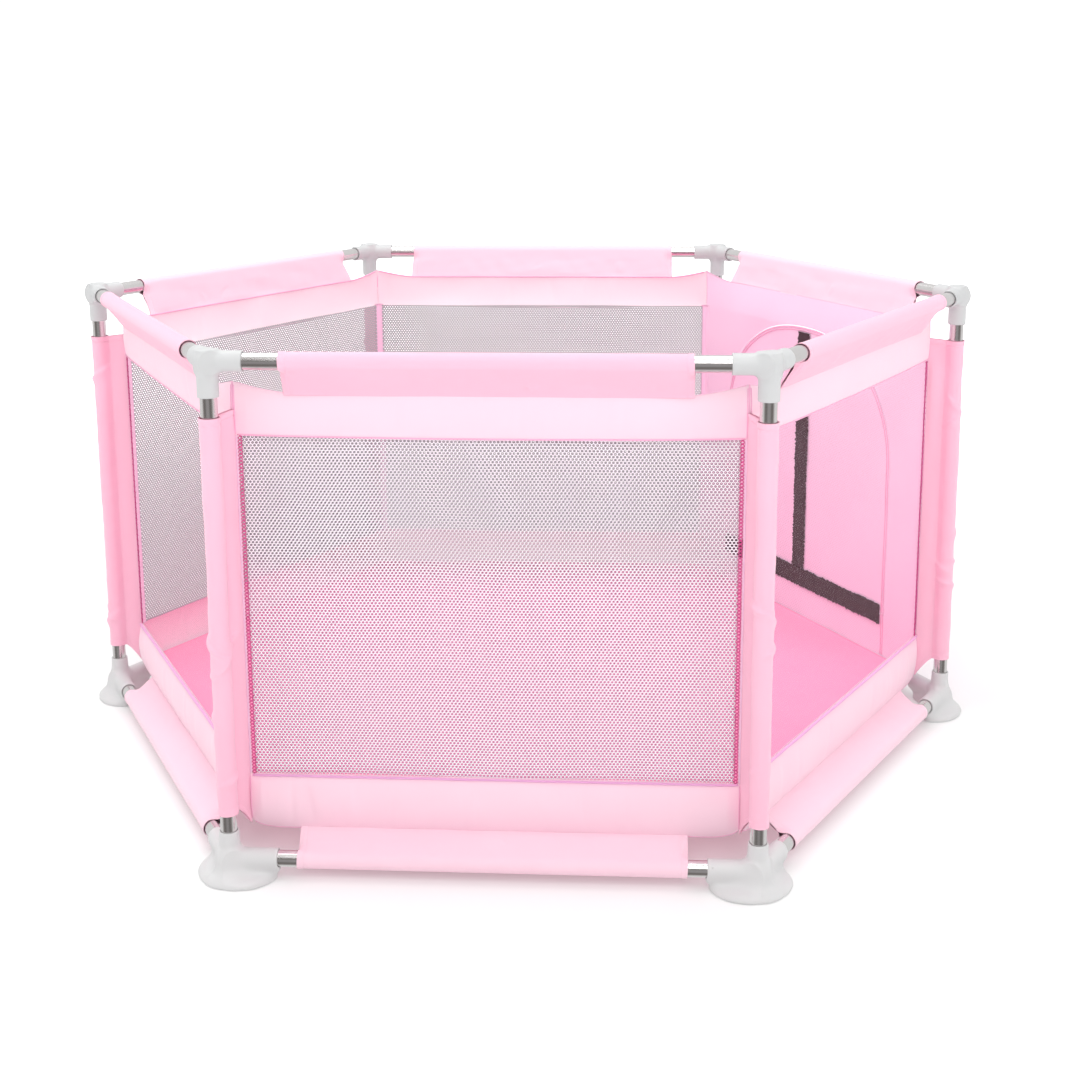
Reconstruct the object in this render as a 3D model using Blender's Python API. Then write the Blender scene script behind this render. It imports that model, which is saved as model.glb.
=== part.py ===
"""Hexagonal baby playpen: a push-fit tube frame with a sewn cloth liner hung inside it.

Units are metres, +Z up. The origin is on the ground under the middle of the pen, and the
front side faces -Y.
"""
import math

import bmesh
import bpy
from mathutils import Matrix, Vector

# ---------------------------------------------------------------- driving dimensions
SIDE = 0.640              # tube axis to tube axis along one side, also the corner radius
RAIL_LOW_Z = 0.026        # axis of the bottom rails
RAIL_HIGH_Z = 0.642       # axis of the top rails

TUBE_R = 0.010
TUBE_BORE_R = 0.0095
TUBE_SEGMENTS = 16

SOCKET_R = 0.0128         # moulded corner pieces
SOCKET_BORE_R = 0.0103
TOP_SOCKET_LENGTH = 0.042
TOP_BORE_START = 0.018
FOOT_SOCKET_LENGTH = 0.060
FOOT_SOCKET_UP = 0.031
FOOT_BORE_START = 0.014
TUBE_END_GAP = 0.0015     # between a tube's end and the bottom of its socket

SKIRT_OUT = 0.036         # foot skirt, beyond the corner
SKIRT_SIDE = 0.050        # foot skirt, to each side

LINER_INSET = 0.034       # rail axis to the outer face of the liner wall
WALL_T = 0.0015
WALL_LOW_Z = 0.050
WALL_HIGH_Z = 0.600
WINDOW_HALF = 0.2939
WINDOW_LOW_Z = 0.119
WINDOW_HIGH_Z = 0.549
MESH_HALF = 0.2976
MESH_LAP = 0.006
MESH_T = 0.0010
FLOOR_T = 0.004
FLOOR_TOP_Z = 0.060

SLEEVE_BORE_R = 0.0105
SLEEVE_R = 0.0116
SLEEVE_HALF = 0.236       # half the length of a rail sleeve
FLAP_T = 0.0012
POST_SLEEVE_LOW_Z = 0.084
POST_SLEEVE_HIGH_Z = 0.576
WEB_LOW_Z = 0.062
WEB_HIGH_Z = 0.597
WEB_T = 0.0012

ARCH_HALF = 0.226         # door opening
ARCH_LOW_Z = 0.126
ARCH_SPRING_Z = 0.345
ARCH_TOP_Z = 0.552
ARCH_STEPS = 16
ARCH_FULLNESS = 2.3       # 2 is a plain ellipse
DOOR_GAP = 0.0005
PARTING = 0.0155          # where the two door leaves meet, measured along the side
TAPE_WIDTH = 0.031
TAPE_T = 0.0012
TAPE_DROP = 0.009         # top of the opening to the upright tape's end
CLOSE_GAP = 0.0003

CORNERS = {
    "front_left": 240.0,
    "front_right": 300.0,
    "right": 0.0,
    "back_right": 60.0,
    "back_left": 120.0,
    "left": 180.0,
}
SIDES = {
    "front": 270.0,
    "right_front": 330.0,
    "right_back": 30.0,
    "back": 90.0,
    "left_back": 150.0,
    "left_front": 210.0,
}
DOOR_SIDE = "right_back"
APOTHEM = SIDE * math.cos(math.pi / 6)
WALL_APOTHEM = APOTHEM - LINER_INSET


# ---------------------------------------------------------------- helpers
def clear_scene():
    for obj in list(bpy.data.objects):
        bpy.data.objects.remove(obj, do_unlink=True)


def material(name, colour, roughness, metallic=0.0):
    mat = bpy.data.materials.get(name)
    if mat:
        return mat
    mat = bpy.data.materials.new(name)
    mat.use_nodes = True
    shader = mat.node_tree.nodes["Principled BSDF"]
    shader.inputs["Base Color"].default_value = (*colour, 1.0)
    shader.inputs["Roughness"].default_value = roughness
    shader.inputs["Metallic"].default_value = metallic
    return mat


def to_mesh(bm, name):
    bmesh.ops.recalc_face_normals(bm, faces=bm.faces)
    mesh = bpy.data.meshes.new(name)
    bm.to_mesh(mesh)
    bm.free()
    return mesh


def add_object(name, mesh, mat, location=(0.0, 0.0, 0.0), turn=0.0, smooth=None):
    """Link a mesh as one named object, turned about Z (degrees) and moved to its place."""
    mesh.materials.clear()
    mesh.materials.append(mat)
    obj = bpy.data.objects.new(name, mesh)
    obj.location = location
    obj.rotation_euler = (0.0, 0.0, math.radians(turn))
    bpy.context.collection.objects.link(obj)
    if smooth:
        mesh.shade_smooth()
        mesh.set_sharp_from_angle(angle=math.radians(smooth))
    return obj


def cylinder(start, end, radius, segments=TUBE_SEGMENTS):
    start = Vector(start)
    axis = Vector(end) - start
    bm = bmesh.new()
    bmesh.ops.create_cone(
        bm, cap_ends=True, segments=segments, radius1=radius, radius2=radius, depth=axis.length)
    place = Matrix.Translation(start + axis / 2) @ axis.to_track_quat("Z", "Y").to_matrix().to_4x4()
    bmesh.ops.transform(bm, matrix=place, verts=bm.verts)
    return to_mesh(bm, "cylinder")


def ball(centre, radius):
    bm = bmesh.new()
    bmesh.ops.create_uvsphere(bm, u_segments=12, v_segments=8, radius=radius)
    bmesh.ops.translate(bm, vec=centre, verts=bm.verts)
    return to_mesh(bm, "ball")


def prism(outline, low, high):
    """Closed solid from a plan outline of (x, y) points between two heights."""
    bm = bmesh.new()
    base = bm.faces.new([bm.verts.new((x, y, low)) for x, y in outline])
    top = bmesh.ops.extrude_face_region(bm, geom=[base])
    lifted = [item for item in top["geom"] if isinstance(item, bmesh.types.BMVert)]
    bmesh.ops.translate(bm, vec=(0.0, 0.0, high - low), verts=lifted)
    return to_mesh(bm, "prism")


def slab(outline, near, far):
    """Closed solid from an upright outline of (s, z) points, between two distances along +Y."""
    bm = bmesh.new()
    base = bm.faces.new([bm.verts.new((s, near, z)) for s, z in outline])
    back = bmesh.ops.extrude_face_region(bm, geom=[base])
    moved = [item for item in back["geom"] if isinstance(item, bmesh.types.BMVert)]
    bmesh.ops.translate(bm, vec=(0.0, far - near, 0.0), verts=moved)
    return to_mesh(bm, "slab")


def combine(base, others, operation="UNION"):
    """Boolean several meshes into one and return the resulting mesh."""
    body = bpy.data.objects.new("body", base)
    bpy.context.collection.objects.link(body)
    tools = []
    for mesh in others:
        tool = bpy.data.objects.new("tool", mesh)
        bpy.context.collection.objects.link(tool)
        modifier = body.modifiers.new("combine", "BOOLEAN")
        modifier.operation = operation
        modifier.solver = "EXACT"
        modifier.object = tool
        tools.append(tool)
    graph = bpy.context.evaluated_depsgraph_get()
    result = bpy.data.meshes.new_from_object(body.evaluated_get(graph))
    for obj in [body] + tools:
        bpy.data.objects.remove(obj, do_unlink=True)
    return result


def tube_mesh(length, outer, inner, segments=TUBE_SEGMENTS):
    """Open tube along X, centred on its origin."""
    solid = cylinder((-length / 2, 0, 0), (length / 2, 0, 0), outer, segments)
    bore = cylinder((-length, 0, 0), (length, 0, 0), inner, segments)
    return combine(solid, [bore], "DIFFERENCE")


def polar(radius, degrees, z=0.0):
    angle = math.radians(degrees)
    return Vector((radius * math.cos(angle), radius * math.sin(angle), z))


# ---------------------------------------------------------------- moulded corner pieces
def arm_directions():
    """Unit vectors of the two horizontal arms in a corner's frame, whose +X points outward."""
    return [polar(1.0, 120.0), polar(1.0, -120.0)]


def top_connector_mesh():
    down = Vector((0, 0, -1))
    directions = arm_directions() + [down]
    arms = [cylinder((0, 0, 0), d * TOP_SOCKET_LENGTH, SOCKET_R) for d in directions]
    body = combine(ball((0, 0, 0), SOCKET_R + 0.0004), arms)
    bores = [
        cylinder(d * TOP_BORE_START, d * (TOP_SOCKET_LENGTH + 0.01), SOCKET_BORE_R)
        for d in directions
    ]
    return combine(body, bores, "DIFFERENCE")


def skirt_radius(degrees):
    """Plan outline of the foot's flared skirt around the post, 0 degrees pointing outward."""
    angle = abs((degrees + 180.0) % 360.0 - 180.0)
    if angle <= 100.0:
        turn = math.radians(angle)
        return 1.0 / math.hypot(math.cos(turn) / SKIRT_OUT, math.sin(turn) / SKIRT_SIDE)
    fade = (angle - 100.0) / 80.0
    return 0.049 * (1.0 - fade) ** 0.8 + 0.012


def skirt_mesh():
    """Flared skirt from the ground up to the post socket, as stacked rings."""
    levels = [(0.0, 0.94), (0.002, 1.0), (0.0065, 1.0), (0.0085, 0.93), (0.013, 0.72),
              (0.020, 0.50), (0.030, 0.33), (0.040, 0.24)]
    steps = 28
    bm = bmesh.new()
    rings = []
    for z, scale in levels:
        ring = []
        for i in range(steps):
            degrees = 360.0 * i / steps
            radius = max(skirt_radius(degrees) * scale, 0.0105)
            ring.append(bm.verts.new(polar(radius, degrees, z)))
        rings.append(ring)
    for low, high in zip(rings, rings[1:]):
        for i in range(steps):
            j = (i + 1) % steps
            bm.faces.new((low[i], low[j], high[j], high[i]))
    bm.faces.new(rings[0][::-1])
    bm.faces.new(rings[-1])
    return to_mesh(bm, "skirt")


def foot_mesh():
    """Foot in its corner's frame, with z = 0 on the ground."""
    axis = Vector((0, 0, RAIL_LOW_Z))
    up = Vector((0, 0, 1))
    arms = [
        cylinder(axis, axis + d * FOOT_SOCKET_LENGTH, SOCKET_R) for d in arm_directions()
    ]
    arms.append(cylinder(axis, axis + up * FOOT_SOCKET_UP, SOCKET_R))
    body = combine(skirt_mesh(), arms + [ball(axis, SOCKET_R)])
    bores = [
        cylinder(axis + d * FOOT_BORE_START, axis + d * (FOOT_SOCKET_LENGTH + 0.01), SOCKET_BORE_R)
        for d in arm_directions()
    ]
    bores.append(cylinder(
        axis + up * FOOT_BORE_START, axis + up * (FOOT_SOCKET_UP + 0.01), SOCKET_BORE_R))
    return combine(body, bores, "DIFFERENCE")


def add_corners(plastic):
    top = top_connector_mesh()
    foot = foot_mesh()
    for corner, degrees in CORNERS.items():
        add_object(
            "top_connector_" + corner, top, plastic, polar(SIDE, degrees, RAIL_HIGH_Z), degrees, 40)
        add_object("foot_" + corner, foot, plastic, polar(SIDE, degrees, 0.0), degrees, 40)


# ---------------------------------------------------------------- steel tubes
def add_tubes(steel):
    top_end = TOP_BORE_START + TUBE_END_GAP
    foot_end = FOOT_BORE_START + TUBE_END_GAP
    top_rail = tube_mesh(SIDE - 2 * top_end, TUBE_R, TUBE_BORE_R)
    low_rail = tube_mesh(SIDE - 2 * foot_end, TUBE_R, TUBE_BORE_R)
    post_length = RAIL_HIGH_Z - RAIL_LOW_Z - top_end - foot_end
    post = tube_mesh(post_length, TUBE_R, TUBE_BORE_R)
    post.transform(Matrix.Rotation(math.pi / 2, 4, "Y"))
    post_middle = RAIL_LOW_Z + foot_end + post_length / 2
    for side, degrees in SIDES.items():
        add_object(
            "top_rail_" + side, top_rail, steel, polar(APOTHEM, degrees, RAIL_HIGH_Z),
            degrees - 90, 40)
        add_object(
            "bottom_rail_" + side, low_rail, steel, polar(APOTHEM, degrees, RAIL_LOW_Z),
            degrees - 90, 40)
    for corner, degrees in CORNERS.items():
        add_object("post_" + corner, post, steel, polar(SIDE, degrees, post_middle), degrees, 40)


# ---------------------------------------------------------------- sleeves
def rail_sleeve_mesh(drop):
    """Sleeve along X with its flap; +Y points outward and drop is the liner edge's height.

    The flap is the tangent from the sleeve's outer face to the liner edge.
    """
    edge = Vector((-LINER_INSET - WALL_T / 2, drop))
    heading = math.atan2(edge.y, edge.x)
    side = 1.0 if drop < 0 else -1.0
    middle_r = (SLEEVE_R + SLEEVE_BORE_R) / 2
    tangent = heading + side * math.pi / 2
    start = Vector((math.cos(tangent), math.sin(tangent))) * (middle_r - 0.00005)
    along = (edge - start).normalized()
    across = Vector((-along.y, along.x)) * (FLAP_T / 2)
    shrink = Vector((math.cos(tangent), math.sin(tangent))) * 0.0001
    corners = [
        start - along * 0.001 + across * 0.6 - shrink,
        edge + across,
        edge - across,
        start - along * 0.001 - across * 0.6 - shrink,
    ]
    tube = tube_mesh(2 * SLEEVE_HALF, SLEEVE_R, SLEEVE_BORE_R, 20)
    flap = prism([(c.x, c.y) for c in corners], -SLEEVE_HALF, SLEEVE_HALF)
    flap.transform(Matrix(((0, 0, 1, 0), (1, 0, 0, 0), (0, 1, 0, 0), (0, 0, 0, 1))))
    return combine(tube, [flap])


def post_sleeve_mesh():
    """Sleeve round a post with the web back to the liner corner; +X points outward."""
    length = POST_SLEEVE_HIGH_Z - POST_SLEEVE_LOW_Z
    middle = (POST_SLEEVE_HIGH_Z + POST_SLEEVE_LOW_Z) / 2
    tube = tube_mesh(length, SLEEVE_R, SLEEVE_BORE_R, 20)
    tube.transform(Matrix.Translation((0, 0, middle)) @ Matrix.Rotation(math.pi / 2, 4, "Y"))
    near = -(SLEEVE_R + SLEEVE_BORE_R) / 2
    far = WALL_APOTHEM / math.cos(math.pi / 6) + 0.0004 - SIDE
    outline = [
        (near, POST_SLEEVE_LOW_Z + 0.002),
        (far, WEB_LOW_Z),
        (far, WEB_HIGH_Z),
        (near, POST_SLEEVE_HIGH_Z - 0.002),
    ]
    web = slab(outline, -WEB_T / 2, WEB_T / 2)
    return combine(tube, [web])


def add_sleeves(cloth):
    top = rail_sleeve_mesh(WALL_HIGH_Z + 2 * CLOSE_GAP + FLAP_T / 2 - RAIL_HIGH_Z)
    low = rail_sleeve_mesh(WALL_LOW_Z - 2 * CLOSE_GAP - FLAP_T / 2 - RAIL_LOW_Z)
    post = post_sleeve_mesh()
    for side, degrees in SIDES.items():
        add_object(
            "top_sleeve_" + side, top, cloth, polar(APOTHEM, degrees, RAIL_HIGH_Z),
            degrees - 90, 40)
        add_object(
            "bottom_sleeve_" + side, low, cloth, polar(APOTHEM, degrees, RAIL_LOW_Z),
            degrees - 90, 40)
    for corner, degrees in CORNERS.items():
        add_object("post_sleeve_" + corner, post, cloth, polar(SIDE, degrees), degrees, 40)


# ---------------------------------------------------------------- liner
def hexagon(apothem, start=0.0, end=360.0):
    radius = apothem / math.cos(math.pi / 6)
    count = int(round((end - start) / 60.0))
    return [polar(radius, start + 60.0 * i).xy for i in range(count + 1)]


def add_wall(cloth):
    """Five joined sides with their window openings, open on the door side."""
    outer = hexagon(WALL_APOTHEM, 60.0, 360.0)
    inner = hexagon(WALL_APOTHEM - WALL_T, 60.0, 360.0)
    wall = prism([tuple(p) for p in outer + inner[::-1]], WALL_LOW_Z, WALL_HIGH_Z)
    cutters = []
    for side, degrees in SIDES.items():
        if side == DOOR_SIDE:
            continue
        outline = [
            (-WINDOW_HALF, WINDOW_LOW_Z),
            (WINDOW_HALF, WINDOW_LOW_Z),
            (WINDOW_HALF, WINDOW_HIGH_Z),
            (-WINDOW_HALF, WINDOW_HIGH_Z),
        ]
        cutter = slab(outline, WALL_APOTHEM - 0.006, WALL_APOTHEM + 0.004)
        cutter.transform(Matrix.Rotation(math.radians(degrees - 90), 4, "Z"))
        cutters.append(cutter)
    add_object("liner_wall", combine(wall, cutters, "DIFFERENCE"), cloth)


def add_windows(netting):
    outline = [
        (-MESH_HALF, WINDOW_LOW_Z - MESH_LAP),
        (MESH_HALF, WINDOW_LOW_Z - MESH_LAP),
        (MESH_HALF, WINDOW_HIGH_Z + MESH_LAP),
        (-MESH_HALF, WINDOW_HIGH_Z + MESH_LAP),
    ]
    far = -WALL_T - CLOSE_GAP
    window = slab(outline, far - MESH_T, far)
    for side, degrees in SIDES.items():
        if side != DOOR_SIDE:
            add_object(
                "mesh_" + side, window, netting, polar(WALL_APOTHEM, degrees), degrees - 90)


def add_floor(cloth):
    plan = hexagon(WALL_APOTHEM - WALL_T - DOOR_GAP)[:6]
    floor = prism([tuple(p) for p in plan], -FLOOR_T, 0.0)
    add_object("floor", floor, cloth, (0.0, 0.0, FLOOR_TOP_Z))


# ---------------------------------------------------------------- door side
def arch_points(half, low, spring, top):
    """Arched outline of (s, z) points: straight jambs with a full half ellipse over them."""
    points = [(-half, low), (half, low)]
    power = 2.0 / ARCH_FULLNESS
    for i in range(ARCH_STEPS + 1):
        turn = math.pi * i / ARCH_STEPS
        across = math.copysign(abs(math.cos(turn)) ** power, math.cos(turn))
        points.append((half * across, spring + (top - spring) * abs(math.sin(turn)) ** power))
    points[-1] = (-half, spring)
    return points


def add_door_panel(cloth):
    radius = WALL_APOTHEM / math.cos(math.pi / 6)
    half_out = radius / 2 - CLOSE_GAP
    half_in = (WALL_APOTHEM - WALL_T) * math.tan(math.pi / 6) - CLOSE_GAP
    plan = [(-half_out, 0.0), (half_out, 0.0), (half_in, -WALL_T), (-half_in, -WALL_T)]
    panel = prism(plan, WALL_LOW_Z, WALL_HIGH_Z)
    hole = slab(arch_points(ARCH_HALF, ARCH_LOW_Z, ARCH_SPRING_Z, ARCH_TOP_Z), -0.01, 0.01)
    degrees = SIDES[DOOR_SIDE]
    add_object(
        "door_panel", combine(panel, [hole], "DIFFERENCE"), cloth,
        polar(WALL_APOTHEM, degrees), degrees - 90)


def leaf_outline(low_s, high_s):
    """Part of the arch between two distances along the side, a gap inside the opening."""
    low = ARCH_LOW_Z + DOOR_GAP
    arc = arch_points(ARCH_HALF - DOOR_GAP, low, ARCH_SPRING_Z, ARCH_TOP_Z - DOOR_GAP)[2:]

    def height(s):
        for (s1, z1), (s2, z2) in zip(arc, arc[1:]):
            if s2 <= s <= s1:
                return z1 + (z2 - z1) * (s - s1) / (s2 - s1)
        return ARCH_SPRING_Z

    points = [(low_s, low), (high_s, low), (high_s, height(high_s))]
    points += [(s, z) for s, z in arc if low_s + 0.0001 < s < high_s - 0.0001]
    points.append((low_s, height(low_s)))
    return points


def door_hinge(s):
    """World position on the outer face of the door side at a distance along it."""
    degrees = SIDES[DOOR_SIDE]
    along = polar(1.0, degrees - 90)
    return polar(WALL_APOTHEM, degrees) + along * s


def add_leaf(name, cloth, hinge_s, free_s):
    """Door leaf whose origin is on its hinge line, at the foot of its jamb."""
    outline = leaf_outline(min(hinge_s, free_s), max(hinge_s, free_s))
    outline = [(s - hinge_s, z) for s, z in outline]
    leaf = slab(outline, -WALL_T, 0.0)
    return add_object(name, leaf, cloth, door_hinge(hinge_s), SIDES[DOOR_SIDE] - 90)


def add_door(cloth, black):
    """Along the door side, s grows from the back_right corner to the right corner."""
    half = ARCH_HALF - DOOR_GAP
    left_leaf = add_leaf("door_leaf_left", cloth, -half, PARTING)
    add_leaf("door_leaf_right", cloth, half, PARTING + DOOR_GAP)
    near = -WALL_T - CLOSE_GAP - TAPE_T
    far = -WALL_T - CLOSE_GAP
    sill_top = ARCH_LOW_Z + TAPE_WIDTH / 2
    sill_low = ARCH_LOW_Z - TAPE_WIDTH / 2
    sill = slab(
        [(-0.219, sill_low), (0.216, sill_low), (0.216, sill_top), (-0.219, sill_top)],
        near, far)
    degrees = SIDES[DOOR_SIDE]
    add_object("closure_tape_sill", sill, black, polar(WALL_APOTHEM, degrees), degrees - 90)
    low_s = PARTING - TAPE_WIDTH + half
    high_s = PARTING + half
    upright = slab(
        [(low_s, sill_top + DOOR_GAP), (high_s, sill_top + DOOR_GAP),
         (high_s, ARCH_TOP_Z - TAPE_DROP), (low_s, ARCH_TOP_Z - TAPE_DROP)],
        near, far)
    tape = add_object(
        "closure_tape_upright", upright, black, door_hinge(-half), SIDES[DOOR_SIDE] - 90)
    tape.parent = left_leaf
    tape.matrix_parent_inverse = (
        Matrix.Translation(left_leaf.location)
        @ left_leaf.rotation_euler.to_matrix().to_4x4()).inverted()


def main():
    clear_scene()
    plastic = material("white_plastic", (0.78, 0.78, 0.79), 0.42)
    steel = material("polished_steel", (0.62, 0.60, 0.60), 0.16, 1.0)
    sleeve = material("sleeve_cloth", (0.98, 0.60, 0.77), 0.75)
    liner = material("liner_cloth", (0.98, 0.68, 0.83), 0.75)
    floor = material("floor_cloth", (0.98, 0.40, 0.64), 0.75)
    netting = material("netting", (0.86, 0.80, 0.85), 0.7)
    black = material("black_tape", (0.045, 0.03, 0.035), 0.85)
    add_corners(plastic)
    add_tubes(steel)
    add_sleeves(sleeve)
    add_wall(liner)
    add_windows(netting)
    add_floor(floor)
    add_door_panel(liner)
    add_door(liner, black)


main()
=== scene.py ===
import math

import bpy
import numpy as np
from mathutils import Matrix, Vector


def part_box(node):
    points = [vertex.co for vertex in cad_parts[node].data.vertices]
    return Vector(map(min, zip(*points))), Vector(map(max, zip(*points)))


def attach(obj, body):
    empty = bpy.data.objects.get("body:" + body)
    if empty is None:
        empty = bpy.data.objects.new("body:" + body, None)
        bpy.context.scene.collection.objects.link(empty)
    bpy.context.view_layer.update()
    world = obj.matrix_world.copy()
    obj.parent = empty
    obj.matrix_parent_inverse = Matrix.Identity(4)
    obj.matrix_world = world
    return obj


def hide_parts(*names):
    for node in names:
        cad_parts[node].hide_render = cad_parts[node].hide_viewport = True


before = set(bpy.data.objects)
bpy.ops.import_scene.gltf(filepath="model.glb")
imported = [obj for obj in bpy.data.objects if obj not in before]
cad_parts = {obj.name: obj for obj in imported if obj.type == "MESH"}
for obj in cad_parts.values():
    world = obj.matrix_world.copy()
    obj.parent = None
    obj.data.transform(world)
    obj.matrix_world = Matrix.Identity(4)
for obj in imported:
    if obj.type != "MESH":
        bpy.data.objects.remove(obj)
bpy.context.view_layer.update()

# ---- places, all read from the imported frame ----
cornerAngles = {"front_left": 240, "front_right": 300, "right": 0,
                "back_right": 60, "back_left": 120, "left": 180}
sideAngles = {"front": 270, "right_front": 330, "right_back": 30,
              "back": 90, "left_back": 150, "left_front": 210}
doorSide = "right_back"


def middle(node):
    low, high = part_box(node)
    return (low + high) / 2


cornerRadius = middle("post_right").x
railOut = -middle("top_rail_front").y  # pen centre to a rail's axis
topZ = middle("top_rail_front").z
lowZ = middle("bottom_rail_front").z
wallOut = -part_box("liner_wall")[0].y  # pen centre to the cloth wall's outer face
wallLow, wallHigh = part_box("liner_wall")[0].z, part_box("liner_wall")[1].z
linerCorner = wallOut / math.cos(math.pi / 6)
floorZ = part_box("floor")[1].z
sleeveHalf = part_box("top_sleeve_front")[1].x
sleeveLow, sleeveHigh = 0.084, 0.576  # the post sleeve's own ends
netLap = 0.006
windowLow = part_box("mesh_front")[0].z + netLap
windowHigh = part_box("mesh_front")[1].z - netLap
sideHalf = wallOut * math.tan(math.pi / 6)
tapeLow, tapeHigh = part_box("closure_tape_sill")[0].z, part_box("closure_tape_sill")[1].z


def direction(angle):
    return Vector((math.cos(math.radians(angle)), math.sin(math.radians(angle)), 0))


# ---- mesh helpers ----
def meshFrom(name, points, faces, weave=None, smooth=True):
    mesh = bpy.data.meshes.new(name)
    points = np.asarray(points, np.float32).reshape(-1, 3)
    faces = np.asarray(faces, np.int32)
    mesh.vertices.add(len(points))
    mesh.vertices.foreach_set("co", points.ravel())
    mesh.loops.add(faces.size)
    mesh.loops.foreach_set("vertex_index", faces.ravel())
    mesh.polygons.add(len(faces))
    mesh.polygons.foreach_set("loop_start", np.arange(len(faces), dtype=np.int32) * faces.shape[1])
    mesh.polygons.foreach_set("use_smooth", np.full(len(faces), smooth))
    mesh.update(calc_edges=True)
    if weave is not None:  # thread coordinates in metres, for the cloth's weave
        spread = mesh.attributes.new("weave", "FLOAT_VECTOR", "POINT")
        spread.data.foreach_set("vector", np.asarray(weave, np.float32).ravel())
    return mesh


def joinMeshes(name, meshes):
    points, faces, weave, count = [], [], [], 0
    for mesh in meshes:
        size = len(mesh.vertices)
        co = np.zeros(size * 3, np.float32)
        mesh.vertices.foreach_get("co", co)
        points.append(co.reshape(-1, 3))
        corner = np.zeros(len(mesh.loops), np.int32)
        mesh.loops.foreach_get("vertex_index", corner)
        faces.append(corner.reshape(-1, 4) + count)
        spread = np.zeros(size * 3, np.float32)
        if "weave" in mesh.attributes:
            mesh.attributes["weave"].data.foreach_get("vector", spread)
        weave.append(spread.reshape(-1, 3))
        count += size
        bpy.data.meshes.remove(mesh)
    return meshFrom(name, np.concatenate(points), np.concatenate(faces), np.concatenate(weave))


def gridFaces(rows, columns, loopRows=False, loopColumns=False):
    number = np.arange(rows * columns).reshape(rows, columns)
    if loopRows:
        number = np.vstack([number, number[:1]])
    if loopColumns:
        number = np.hstack([number, number[:, :1]])
    return np.stack([number[:-1, :-1], number[1:, :-1], number[1:, 1:], number[:-1, 1:]], -1).reshape(-1, 4)


def gridNormals(points, loopRows=False, loopColumns=False):
    def slope(axis, loop):
        if loop:
            return np.roll(points, -1, axis) - np.roll(points, 1, axis)
        return np.gradient(points, axis=axis)
    normal = np.cross(slope(0, loopRows), slope(1, loopColumns))
    return normal / np.maximum(np.linalg.norm(normal, axis=2, keepdims=True), 1e-12)


def flatPlace(u, v):
    # where each point lay on the flat cloth, for its weave
    return np.stack([u, v, u * 0], -1)


def clothMesh(name, points, thickness, loopRows=False, loopColumns=False, weave=None, swell=None):
    # a grid of points becomes cloth with two faces and closed edges
    rows, columns = points.shape[:2]
    normal = gridNormals(points, loopRows, loopColumns)
    if swell is not None:
        points = points + normal * swell[..., None]
        normal = gridNormals(points, loopRows, loopColumns)
    if weave is None:
        across = np.linalg.norm(np.diff(points, axis=0, prepend=points[:1]), axis=2).cumsum(0)
        along = np.linalg.norm(np.diff(points, axis=1, prepend=points[:, :1]), axis=2).cumsum(1)
        weave = flatPlace(across, along)
    front = (points + normal * thickness / 2).reshape(-1, 3)
    back = (points - normal * thickness / 2).reshape(-1, 3)
    faces = gridFaces(rows, columns, loopRows, loopColumns)
    size = rows * columns
    parts = [faces, faces[:, ::-1] + size]
    number = np.arange(size).reshape(rows, columns)

    def rims(first, last, closed, flip):
        for line, over in ((first, flip), (last, not flip)):
            if closed:
                line = np.append(line, line[0])
            pair = np.stack([line[:-1], line[1:], line[1:] + size, line[:-1] + size], -1)
            parts.append(pair[:, ::-1] if over else pair)
    if not loopRows:
        rims(number[0], number[-1], loopColumns, True)
    if not loopColumns:
        rims(number[:, 0], number[:, -1], loopRows, False)
    return meshFrom(name, np.concatenate([front, back]), np.concatenate(parts),
                    np.concatenate([weave.reshape(-1, 3)] * 2))


def sweep(name, path, radius, sides=8, loop=False, squashed=1.0):
    # round cord along a path of points
    path = np.asarray(path, float)
    if loop:
        ahead = np.roll(path, -1, 0) - np.roll(path, 1, 0)
    else:
        ahead = np.gradient(path, axis=0)
    ahead /= np.linalg.norm(ahead, axis=1, keepdims=True)
    helper = np.tile([0.0, 0.0, 1.0], (len(path), 1))
    helper[np.abs(ahead[:, 2]) > 0.9] = [1.0, 0.0, 0.0]
    left = np.cross(ahead, helper)
    left /= np.linalg.norm(left, axis=1, keepdims=True)
    up = np.cross(left, ahead)
    turn = np.arange(sides) * 2 * math.pi / sides
    radius = np.broadcast_to(np.asarray(radius, float), (len(path),))[:, None, None]
    ring = path[:, None] + radius * (np.cos(turn)[None, :, None] * left[:, None]
                                     + squashed * np.sin(turn)[None, :, None] * up[:, None])
    faces = gridFaces(len(path), sides, loop, True)
    if not loop:  # flat ends, made of four-sided faces
        cap = np.array([(0, i, i + 1, i + 2) for i in range(1, sides - 2, 2)])
        faces = np.concatenate([faces, cap, cap[:, ::-1] + (len(path) - 1) * sides])
    along = np.linalg.norm(np.diff(path, axis=0, prepend=path[:1]), axis=1).cumsum()
    weave = np.stack(np.broadcast_arrays(along[:, None], turn[None] * 0.001, 0.0), -1)
    return meshFrom(name, ring, faces, weave)


def ripple(u, v, seed, size, count=7):
    # smooth uneven waves from -1 to 1, about the given size across
    pick = np.random.default_rng(seed)
    total = np.zeros(np.broadcast(u, v).shape)
    for i in range(count):
        turn = pick.uniform(0, 2 * math.pi)
        wave = 2 * math.pi / (size * pick.uniform(0.7, 1.6))
        total += np.sin(wave * (u * math.cos(turn) + v * math.sin(turn)) + pick.uniform(0, 6.3))
    return total / count * 1.6


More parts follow.
